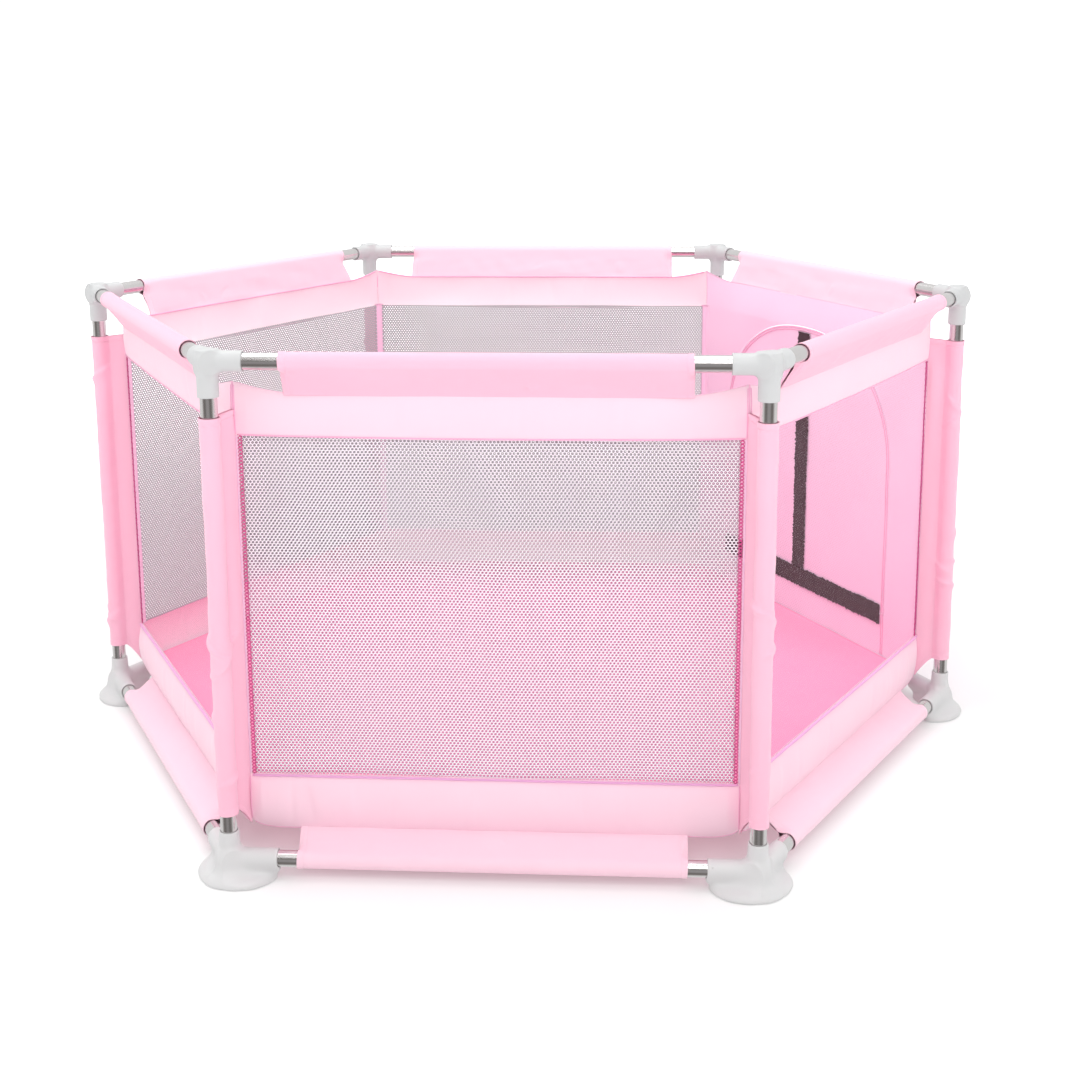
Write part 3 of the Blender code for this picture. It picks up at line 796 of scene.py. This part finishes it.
def bandGrid(top, seed):
    # one side's band; rows go up, columns along, and it swells outward between its seams
    k = band
    even = np.linspace(-1, 1, k["along"])
    s = (np.sin(np.linspace(-math.pi / 2, math.pi / 2, k["along"])) * 0.35 + even * 0.65) * sideHalf
    toCorner = np.abs(s) / sideHalf
    if top:
        base = windowHigh - 0.002 - 0.003 * (1 - toCorner ** 2)
        crest = wallHigh + k["cornerRise"] * cornerShare(s)
        puff, folds = k["topPuff"], k["foldsTop"]
    else:
        near = np.clip((np.abs(s) - (sideHalf - k["cornerRound"])) / k["cornerRound"], 0, 1)
        base = wallLow + k["cornerLift"] * (1 - np.sqrt(1 - near ** 2))
        crest = np.full_like(s, windowLow + 0.002)
        puff, folds = k["lowPuff"], k["foldsLow"]
    v, u = np.meshgrid(np.linspace(0, 1, k["up"]), s, indexing="ij")
    z = base + (crest - base) * v
    side = np.clip((sideHalf - np.abs(u)) / 0.016, 0, 1) ** 0.5
    shape = np.maximum(np.sin(math.pi * v ** (0.85 if top else 1.1)), 0) ** 0.6 * side
    out = puff * shape * (1 + 0.25 * ripple(u, z * 0.5, seed, 0.10))
    pick = np.random.default_rng(seed + 1)
    for i in range(folds):
        at = pick.uniform(-0.85, 0.85) * sideHalf
        end = (at + pick.uniform(-0.010, 0.010), z.max())
        width = pick.uniform(0.003, 0.007)
        height = puff * pick.uniform(0.08, 0.22) * pick.choice([-1, -1, 1])
        out += crease(u, z, (at, z.min()), end, width, height, pick.uniform(-0.003, 0.003)) * shape
    # the sleeve pulls the top edge outward
    lean = k["lean"] * (v ** 1.3 if top else 0) * (1 - (np.abs(u) / sideHalf) ** 5)
    points = np.stack([u, wallOut + out + lean, z], -1)
    return points, flatPlace(u, z)


def turned(mesh, angle):
    mesh.transform(Matrix.Rotation(math.radians(angle - 90), 4, "Z"))
    return mesh


def makeBands():
    k = band
    tops, paintedLightTops, lows, seams, topTrim, lowTrim = [], [], [], [], [], []

    def cloth(group, angle, points, weave):
        mesh = clothMesh("band", points[:, ::-1], k["thickness"], weave=weave[:, ::-1])
        group.append(turned(mesh, angle))

    def cord(group, angle, line, outward, up, radius, sides=6, squashed=1.0):
        path = line + np.array([0, outward, up])
        group.append(turned(sweep("cord", path, radius, sides, squashed=squashed), angle))
    for i, (side, angle) in enumerate(sideAngles.items()):
        if side == doorSide:
            continue
        points, weave = bandGrid(True, 80 + i)
        # the back and left back top bands take the lighter copy of the band cloth, painted light
        cloth(paintedLightTops if side in ("back", "left_back") else tops, angle, points, weave)
        cord(topTrim, angle, points[1, 2:-2:3], 0.0008, -0.0004, k["topEdge"])
        for column in (1, -2):
            cord(seams, angle, points[1:-1:2, column], 0.0006, 0, k["seam"])
        cord(topTrim, angle, points[-1, 2:-2:3], -0.0004, -0.0006, k["rolledEdge"])
        points, weave = bandGrid(False, 90 + i)
        cloth(lows, angle, points, weave)
        cord(lowTrim, angle, points[-2, 2:-2:2], 0.0010, 0.0004, k["lowEdge"], 8, 0.45)
        for column in (1, -2):
            cord(seams, angle, points[1:-2:2, column], 0.0006, 0, k["seam"])
        cord(seams, angle, points[0, 2:-2:3], 0.0004, 0, k["underEdge"])
    topWidth, lowWidth = wallHigh - windowHigh, windowLow - wallLow
    for name, meshes, width, finish, stands in (("topBand", tops, topWidth, bandCloth, ["liner_wall"]),
                                                ("paintedLightTopBand", paintedLightTops, topWidth, bandClothPaintedLight, []),
                                                ("lowBand", lows, lowWidth, bandCloth, [])):
        piece = placed(name, joinMeshes(name, meshes), finish, stands=stands)
    for corner, angle in cornerAngles.items():  # one seam down each corner joins the sides
        z = np.linspace(wallLow + k["cornerLift"], wallHigh + k["cornerRise"], 80)
        out = linerCorner + 0.0006 + 0.0005 * ripple(z, z * 0, angle, 0.05)
        seams.append(turned(sweep("seam", np.stack([z * 0, out, z], -1), k["cornerSeam"], 8), angle))
    placed("bandTopTrim", joinMeshes("trim", topTrim), edgeCloth)
    placed("bandLowTrim", joinMeshes("trim", lowTrim), lilacEdge)
    placed("bandSeams", joinMeshes("seams", seams), edgeCloth)


strip = {"reach": 0.0080, "frontReach": 0.0032, "nose": 0.001, "thickness": 0.0010}


def makeCornerStrips():
    # narrow doubled cloth up each corner, between the bands
    k = strip
    meshes = []
    for i, (corner, angle) in enumerate(cornerAngles.items()):
        reach = k["frontReach"] if corner.startswith("front") else k["reach"]
        across, back = reach * math.sin(math.radians(60)), -reach * math.cos(math.radians(60))
        shape = [(-across, back), (-k["nose"], -0.0006), (k["nose"], -0.0006), (across, back)]
        line, run = evenly(np.array(shape), 14, 0.003)
        z = np.linspace(windowLow - 0.001, windowHigh + 0.001, 90)
        u, v = np.meshgrid(run, z, indexing="ij")
        points = np.zeros((*u.shape, 3))
        points[..., 0] = line[:, 0][:, None] + 0.0004 * ripple(u, v, 7 + i, 0.05)
        points[..., 1] = linerCorner - 0.0008 + line[:, 1][:, None]
        points[..., 2] = v
        mesh = clothMesh("strip", points, k["thickness"], weave=flatPlace(u, v))
        meshes.append(turned(mesh, angle))
    placed("cornerStrips", joinMeshes("cornerStrips", meshes), wallCloth)


print("bands")
makeBands()
makeCornerStrips()


# ---- netting ----
net = {"across": 0.00457, "up": 0.00679, "relief": 0.00020,
       # how much of each cell's width is open, in each kind of netting; the dark sheet behind the front net
       # is painted shade
       "face": 0.68, "shadeSheet": 0.37, "far": 0.42, "fine": 0.88,
       "inset": 0.0040, "lap": 0.003, "inside": 0.0020, "shadeSheetBehind": 0.0005, "leastShare": 0.302,
       "edgeZigzag": 0.0030, "edgeThread": 0.0008, "edgeStep": 0.0086, "edgeInset": 0.0064,
       "edgeLift": 0.0004}


def netMesh(name, share, wide, low, high):
    # a sheet of six-sided holes, with the given share of each cell's width left open
    a, b = net["across"], net["up"]
    y0 = ((b / 2) ** 2 - (a / 2) ** 2) / b
    cell = share * np.array([(a / 2, -y0), (a / 2, y0), (0, b / 2 - y0),
                             (-a / 2, y0), (-a / 2, -y0), (0, -b / 2 + y0)])
    columns = int(2 * wide / a)
    rows = int((high - low) / (b / 2)) - 1
    i, j = np.meshgrid(np.arange(columns), np.arange(rows), indexing="ij")
    x = (i + 0.5 * (j % 2) - (columns - 0.5) / 2) * a
    z = (low + high) / 2 + (j - (rows - 1) / 2) * b / 2
    points = np.zeros((columns, rows, 6, 3))
    points[..., 0] = x[..., None] + cell[:, 0]
    points[..., 2] = z[..., None] + cell[:, 1]
    points[..., 1] = np.array([1, -1, 1, -1, 1, -1]) * net["relief"]
    number = np.arange(columns * rows * 6).reshape(columns, rows, 6)

    def four(*corners):
        return np.stack(corners, -1).reshape(-1, len(corners))
    quads = [four(number[:-1, :, 0], number[1:, :, 4], number[1:, :, 3], number[:-1, :, 1])]
    triangles = []
    for parity in (0, 1):
        level = np.arange(parity, rows - 1, 2)
        here, above = number[:, level], number[:, level + 1]
        if parity:
            quads += [four(here[:-1, :, 1], above[1:, :, 5], above[1:, :, 4], here[:-1, :, 2]),
                      four(here[:, :, 2], above[:, :, 0], above[:, :, 5], here[:, :, 3])]
            triangles += [four(here[:-1, :, 2], above[1:, :, 4], above[:-1, :, 0]),
                          four(here[:-1, :, 1], here[1:, :, 3], above[1:, :, 5])]
        else:
            quads += [four(here[:, :, 1], above[:, :, 5], above[:, :, 4], here[:, :, 2]),
                      four(here[1:, :, 2], above[:-1, :, 0], above[:-1, :, 5], here[1:, :, 3])]
            triangles += [four(here[1:, :, 2], above[1:, :, 4], above[:-1, :, 0]),
                          four(here[:-1, :, 1], here[1:, :, 3], above[:-1, :, 5])]
    quads = np.concatenate(quads)
    faces = np.concatenate([quads[:, [0, 1, 2]], quads[:, [0, 2, 3]]] + triangles)
    points = points.reshape(-1, 3)
    u, v = points[:, 0], points[:, 2]
    inner = np.clip((wide - np.abs(u)) / 0.08, 0, 1)
    points[:, 1] += 0.0020 * ripple(u, v, 5, 0.30) * inner
    points[:, 0] += 0.0012 * ripple(u, v, 6, 0.20) * inner  # rows of a net are never quite straight
    points[:, 2] += 0.0012 * ripple(u, v, 7, 0.18) * inner
    return meshFrom(name, points, faces, flatPlace(u, v))


def makeNets():
    k = net
    wide = sideHalf - k["inset"]
    low, high = windowLow - k["lap"], windowHigh + k["lap"]
    flat = (2 * wide, high - low)
    full = flat[0] * flat[1]
    kinds = ("face", "shadeSheet", "far", "fine")
    area = {kind: full * (1 - k[kind] ** 2) for kind in kinds}
    meshes = {kind: netMesh(kind, k[kind], wide, low, high) for kind in kinds}
    # the back and left back nets use the grey copy of the netting, painted shade
    chosen = {"front": ("face", netWhite), "back": ("far", netGrey), "left_back": ("far", netGrey)}
    edges = []
    z = np.arange(windowLow, windowHigh, k["edgeStep"] / 8)
    wave = np.arcsin(np.sin(2 * math.pi * z / k["edgeStep"])) / (math.pi / 2)
    over = k["edgeLift"] * np.cos(4 * math.pi * z / k["edgeStep"])
    for side, angle in sideAngles.items():
        if side == doorSide:
            continue
        kind, finish = chosen.get(side, ("fine", netFine))
        piece = placed("net_" + side, meshes[kind], finish, angle - 90,
                       direction(angle) * (wallOut - k["inside"]), stands=["mesh_" + side])
        max(area[kind], k["leastShare"] * full)
        # behind the front net lies a dark sheet, painted shade in the net's holes
        if side == "front":
            behind = placed("netPaintedShade_front", meshes["shadeSheet"], netHolesPaintedShade, angle - 90,
                            direction(angle) * (wallOut - k["inside"] - k["shadeSheetBehind"]))
        for edge in (k["edgeInset"] - sideHalf, sideHalf - k["edgeInset"]):
            for flip in (-1, 1):
                path = [edge + flip * k["edgeZigzag"] * wave, wallOut + k["edgeLift"] + over * flip, z]
                edges.append(turned(sweep("edge", np.stack(path, -1), k["edgeThread"], 6), angle))
    placed("netEdgeStitching", joinMeshes("edges", edges), stitchPink)


print("netting")
makeNets()


# ---- floor and door ----
floor = {"thickness": 0.0012, "sag": 0.003, "rings": 90, "around": 300, "creases": 9, "creaseHeight": 0.0009,
         "inset": 0.0026}


def makeFloor():
    k = floor
    turn = np.linspace(0, 2 * math.pi, k["around"], endpoint=False)
    share = np.linspace(0.004, 1, k["rings"])
    edge = (wallOut - k["inset"]) / np.cos(turn % (math.pi / 3) - math.pi / 6)
    r = share[:, None] * edge
    x, y = r * np.cos(turn), r * np.sin(turn)
    inner = np.clip((1 - share[:, None]) * 8, 0, 1)
    z = floorZ - 0.001 - k["sag"] * (1 - share[:, None] ** 2) + 0.0014 * ripple(x, y, 3, 0.22) * inner
    z += 0.0004 * ripple(x, y, 8, 0.06) * inner
    pick = np.random.default_rng(17)
    for i in range(k["creases"]):
        start, bend = pick.uniform(-0.4, 0.4, 2), pick.uniform(-0.22, 0.22, 2)
        width, height = pick.uniform(0.004, 0.009), k["creaseHeight"] * pick.choice([-1, 1])
        z += crease(x, y, start, start + bend, width, height, pick.uniform(-0.03, 0.03)) * inner
    points = np.stack([x, y, np.minimum(z, floorZ)], -1)
    mesh = clothMesh("floorCloth", points, k["thickness"], loopColumns=True,
                     weave=flatPlace(x, y))
    piece = placed("floorCloth", mesh, floorCloth, stands=["floor"])


print("floor")
makeFloor()

door = {"half": 0.226, "sill": (tapeLow + tapeHigh) / 2, "spring": 0.345, "top": 0.552, "fullness": 2.3,
        "parting": 0.0155, "piping": 0.0019, "gap": 0.0010, "waves": 0.0010, "thickness": 0.0010,
        "middle": 0.31, "seam": 0.0010, "inside": 0.0006}


def doorWave(s, z):
    # the door side's slow unevenness, shared by all that lies on it
    return door["waves"] * ripple(s, z, 31, 0.12)


def archHeight(s):
    k = door
    share = np.clip(np.abs(s) / k["half"], 0, 1) ** k["fullness"]
    return k["spring"] + (k["top"] - k["spring"]) * (1 - share) ** (1 / k["fullness"])


def doorCloth(low, high, s):
    # plain cloth of the door side between two heights, given for each position along it
    v, u = np.meshgrid(np.linspace(0, 1, 60), s, indexing="ij")
    z = low + (high - low) * v
    points = np.stack([u, wallOut - door["inside"] + doorWave(u, z), z], -1)
    weave = flatPlace(u, z)
    return clothMesh("doorCloth", points[:, ::-1], door["thickness"], weave=weave[:, ::-1])


def doorPanelMesh():
    # one sheet from the opening's outline out to the side's edges
    k = door
    half, centre = sideHalf - k["seam"], k["middle"]
    corners = [math.atan2(z - centre, s) for s in (-half, half) for z in (wallLow, wallHigh)]
    corners += [math.atan2(k["sill"] - centre, s) for s in (-k["half"], k["half"])]
    turn = np.sort(np.append(np.linspace(-math.pi, math.pi, 420, endpoint=False), corners))
    across, up = np.cos(turn), np.sin(turn)
    upper = np.where(up > 0, wallHigh - centre, centre - wallLow)
    outer = np.minimum(half / np.maximum(np.abs(across), 1e-6), upper / np.maximum(np.abs(up), 1e-6))
    near, far = np.zeros_like(turn), outer.copy()
    for _ in range(40):  # the outline lies where the opening ends along each ray
        middleReach = (near + far) / 2
        s, z = across * middleReach, centre + up * middleReach
        inside = (np.abs(s) <= k["half"]) & (z >= k["sill"]) & (z <= archHeight(s))
        near, far = np.where(inside, middleReach, near), np.where(inside, far, middleReach)
    share = np.linspace(0, 1, 48)[:, None]
    reach = near + (outer - near) * share
    s, z = across * reach, centre + up * reach
    rise = cornerShare(s) * band["cornerRise"]
    z = z + rise * np.clip((z - windowHigh) / (wallHigh - windowHigh), 0, 1)
    aboveWindow = np.clip((z - windowHigh) / (wallHigh - windowHigh), 0, 1)
    lean = band["lean"] * aboveWindow ** 1.3 * (1 - (np.abs(s) / sideHalf) ** 5)
    points = np.stack([s, wallOut - k["inside"] + doorWave(s, z) + lean, z], -1)
    return clothMesh("doorPanel", points, k["thickness"], loopColumns=True,
                     weave=flatPlace(s, z))


def makeDoor():
    k = door
    angle = sideAngles[doorSide]
    width, height = 2 * (sideHalf - k["seam"]), wallHigh - wallLow
    bend = -np.cos(np.linspace(0, math.pi, 140))
    across = k["half"] * bend
    panel = placed("doorPanel", doorPanelMesh(), wallCloth, angle - 90,
                   stands=["door_panel"])
    opening = 2 * k["half"] * (k["spring"] - k["sill"])
    opening += math.pi / 2 * k["half"] * (k["top"] - k["spring"]) * 1.03
    width * height - opening
    for name, body, low, high in (("leafLeft", "leaf_left", -k["half"] + k["gap"], k["parting"]),
                                  ("leafRight", "leaf_right", k["parting"] + k["gap"], k["half"] - k["gap"])):
        s = (low + high) / 2 + (high - low) / 2 * bend
        top = archHeight(s) - k["gap"]
        leaf = placed(name, doorCloth(k["sill"] + k["gap"], top, s), wallCloth, angle - 90, body=body,
                      stands=["door_" + body])
        high - low
        k["top"] - k["sill"]
        float(np.trapz(top - k["sill"], s))
    # raised binding round the arch, carried down both jambs to the floor
    line = [(-k["half"], z) for z in np.linspace(floorZ + 0.002, k["spring"], 60)[:-1]]
    line += [(s, float(archHeight(s))) for s in across]
    line += [(k["half"], z) for z in np.linspace(k["spring"], floorZ + 0.002, 60)[1:]]
    line, run = evenly(np.array(line), 360, 0.004)
    wave = doorWave(line[:, 0], line[:, 1])
    cords = []
    for inset in (0.0, 0.0042):  # a bound edge has two close ridges
        slope = np.gradient(line, axis=0)
        slope /= np.linalg.norm(slope, axis=1, keepdims=True)
        path = line + np.stack([-slope[:, 1], slope[:, 0]], -1) * -(0.0026 + inset)
        path = np.stack([path[:, 0], wallOut - 0.0012 + wave, path[:, 1]], -1)
        cords.append(sweep("piping", path, k["piping"] * 0.55, 6))
    placed("archPiping", joinMeshes("archPiping", cords), edgeCloth, angle - 90)
    makeTapes(angle)


tape = {"thickness": 0.0012, "behind": 0.0027, "ragged": 0.0014, "pile": 0.0010, "step": 0.0009,
        "sillStart": -0.219, "sillEnd": 0.216, "gap": 0.0006, "belowTop": 0.009}


def tapeMesh(start, end, width, seed):
    # flat pile tape between two (along, height) points, with a ragged cut edge
    start, end = np.array(start, float), np.array(end, float)
    length = np.hypot(*(end - start))
    heading = (end - start) / length
    across = np.array([-heading[1], heading[0]])
    along = np.linspace(0, length, int(length / tape["step"]))
    t, w = np.meshgrid(along, np.linspace(-0.5, 0.5, 24), indexing="ij")
    pick = np.random.default_rng(seed)
    rag = np.stack([pick.normal(0, 1, t.shape[0]) for side in (0, 1)], 0)
    rag = (rag + np.roll(rag, 1, 1)) / 2
    edge = np.where(w < 0, rag[0][:, None], rag[1][:, None]) * tape["ragged"] * np.abs(2 * w) ** 6
    slow = 0.0008 * ripple(t, t * 0, seed + 1, 0.05)
    place = start + heading * t[..., None] + across * (w * width + slow + edge)[..., None]
    lift = tape["pile"] * (0.35 * pick.random(t.shape) + 0.25 * (1 - np.abs(2 * w) ** 4))
    out = wallOut - tape["behind"] - lift
    points = np.stack([place[..., 0], out, place[..., 1]], -1)
    return clothMesh("tape", points, tape["thickness"], weave=flatPlace(t, w * width))


def makeTapes(angle):
    k = tape
    width, height = tapeHigh - tapeLow, door["sill"]
    sillMesh = tapeMesh((k["sillStart"], height), (k["sillEnd"], height), width, 71)
    sill = placed("sillTape", sillMesh, blackTape, angle - 90,
                  stands=["closure_tape_sill"])
    where, top = door["parting"] - width / 2, door["top"] - k["belowTop"]
    uprightMesh = tapeMesh((where, tapeHigh + k["gap"]), (where, top), width, 75)
    upright = placed("uprightTape", uprightMesh, blackTape, angle - 90, body="leaf_left",
                     stands=["closure_tape_upright"])
    top - tapeHigh


print("door")
makeDoor()


# ---- studio ----
studio = {"sky": 0.80, "floor": 0.72, "near": 1.0, "far": 2.8, "nearGlow": 0.24, "wall": 9.0,
          "wallGlow": 1.05, "lens": 51.43, "shift": -0.148,
          "camera": (0.166, -2.264, 0.962), "turn": (78.78, 0.29, 3.42),
          # the sky's dim end, and its colour by how nearly a direction points there
          "dimEnd": (0.0, -0.98, -0.15),
          "dimming": ((0.20, (1, 1, 1, 1)), (0.62, (0.25, 0.23, 0.22, 1)),
                      (0.86, (0.22, 0.205, 0.20, 1)), (0.97, (0.42, 0.41, 0.41, 1))),
          # name, place, aim, size, power, seen in reflections
          "lamps": (("overhead", (-0.4, 0.2, 3.2), (0, 0, 0.3), 2.6, 52, True),
                    ("frontHigh", (0.3, -3.4, 3.0), (0, 0.4, 0.5), 2.2, 56, True),
                    ("frontLeft", (-3.2, -2.2, 1.6), (0, 0, 0.35), 1.6, 20, False),
                    ("frontRight", (3.2, -2.0, 1.6), (0, 0, 0.35), 1.6, 22, False))}


class Sky(Finish):
    # the light all round the studio, built node by node like a finish
    def __init__(self, strength):
        world = bpy.data.worlds.new("studio")
        world.use_nodes = True
        bpy.context.scene.world = world
        self.tree = world.node_tree
        self.shader = self.tree.nodes["Background"]
        self.shader.inputs["Strength"].default_value = strength


def makeWorld():
    # white room whose camera end is dim, so that the steel has something dark to mirror
    sky = Sky(studio["sky"])
    place = sky.node("ShaderNodeTexCoord", {}, {}, "Generated")
    facing = sky.node("ShaderNodeVectorMath", {"operation": "DOT_PRODUCT"},
                      {0: place, 1: studio["dimEnd"]}, "Value")
    sky.feed("Color", sky.node("ShaderNodeValToRGB", {"stops": studio["dimming"]}, {"Fac": facing}))


def makeStage(name, mesh, finish, seenOnlyByCamera=False):
    mesh.materials.append(finish.material)
    piece = bpy.data.objects.new(name, mesh)
    bpy.context.scene.collection.objects.link(piece)
    if seenOnlyByCamera:
        piece.visible_diffuse = piece.visible_glossy = piece.visible_shadow = False
        piece.visible_transmission = piece.visible_volume_scatter = False
    return piece


def makeStudio():
    k = studio
    bpy.context.scene.view_settings.view_transform = "Standard"
    turn = np.linspace(0, 2 * math.pi, 96, endpoint=False)
    circle = np.stack([np.cos(turn), np.sin(turn)], -1) * k["wall"]
    faces = gridFaces(2, len(turn), False, True)
    ground = np.stack([np.pad(circle * share, ((0, 0), (0, 1))) for share in (0.01, 1.0)])
    pale = Finish("paleFloor", Roughness=1.0, Specular_IOR_Level=0.0, Emission_Strength=1.0,
                  Base_Color=(*[k["floor"]] * 3, 1))
    reach = pale.node("ShaderNodeVectorMath", {"operation": "LENGTH"}, {0: pale.place()}, "Value")
    glow = pale.node("ShaderNodeMapRange", {"interpolation_type": "SMOOTHSTEP"},
                     {"Value": reach, "From Min": k["near"], "From Max": k["far"],
                      "To Min": k["nearGlow"], "To Max": 1.0})
    pale.feed("Emission Color", pale.blendColour(glow, (0, 0, 0, 1), (1, 1, 1, 1)))
    floorPiece = makeStage("studioFloor", meshFrom("studioFloor", ground, faces), pale)
    floorPiece.location.z = -0.0004
    floorPiece.visible_glossy = False
    white = Finish("whiteBackdrop", Roughness=1.0, Specular_IOR_Level=0.0, Emission_Strength=k["wallGlow"],
                   Base_Color=(0, 0, 0, 1), Emission_Color=(1, 1, 1, 1))
    wall = np.stack([np.pad(circle, ((0, 0), (0, 1)), constant_values=z) for z in (-0.01, k["wall"])])
    makeStage("backdrop", meshFrom("backdrop", wall, faces), white, True)
    makeWorld()
    for name, spot, aim, size, power, reflected in k["lamps"]:
        light = bpy.data.lights.new(name, "AREA")
        light.shape, light.size, light.energy = "SQUARE", size, power
        lamp = bpy.data.objects.new(name, light)
        lamp.location = spot
        lamp.rotation_euler = (Vector(aim) - Vector(spot)).to_track_quat("-Z", "Y").to_euler()
        lamp.visible_glossy = reflected
        lamp.visible_camera = False
        bpy.context.scene.collection.objects.link(lamp)
    view = bpy.data.cameras.new("camera")
    view.lens, view.sensor_width, view.shift_y, view.clip_end = k["lens"], 36, k["shift"], 200
    camera = bpy.data.objects.new("camera", view)
    camera.location = k["camera"]
    camera.rotation_euler = [math.radians(a) for a in k["turn"]]
    bpy.context.scene.collection.objects.link(camera)
    bpy.context.scene.camera = camera


print("studio")
makeStudio()
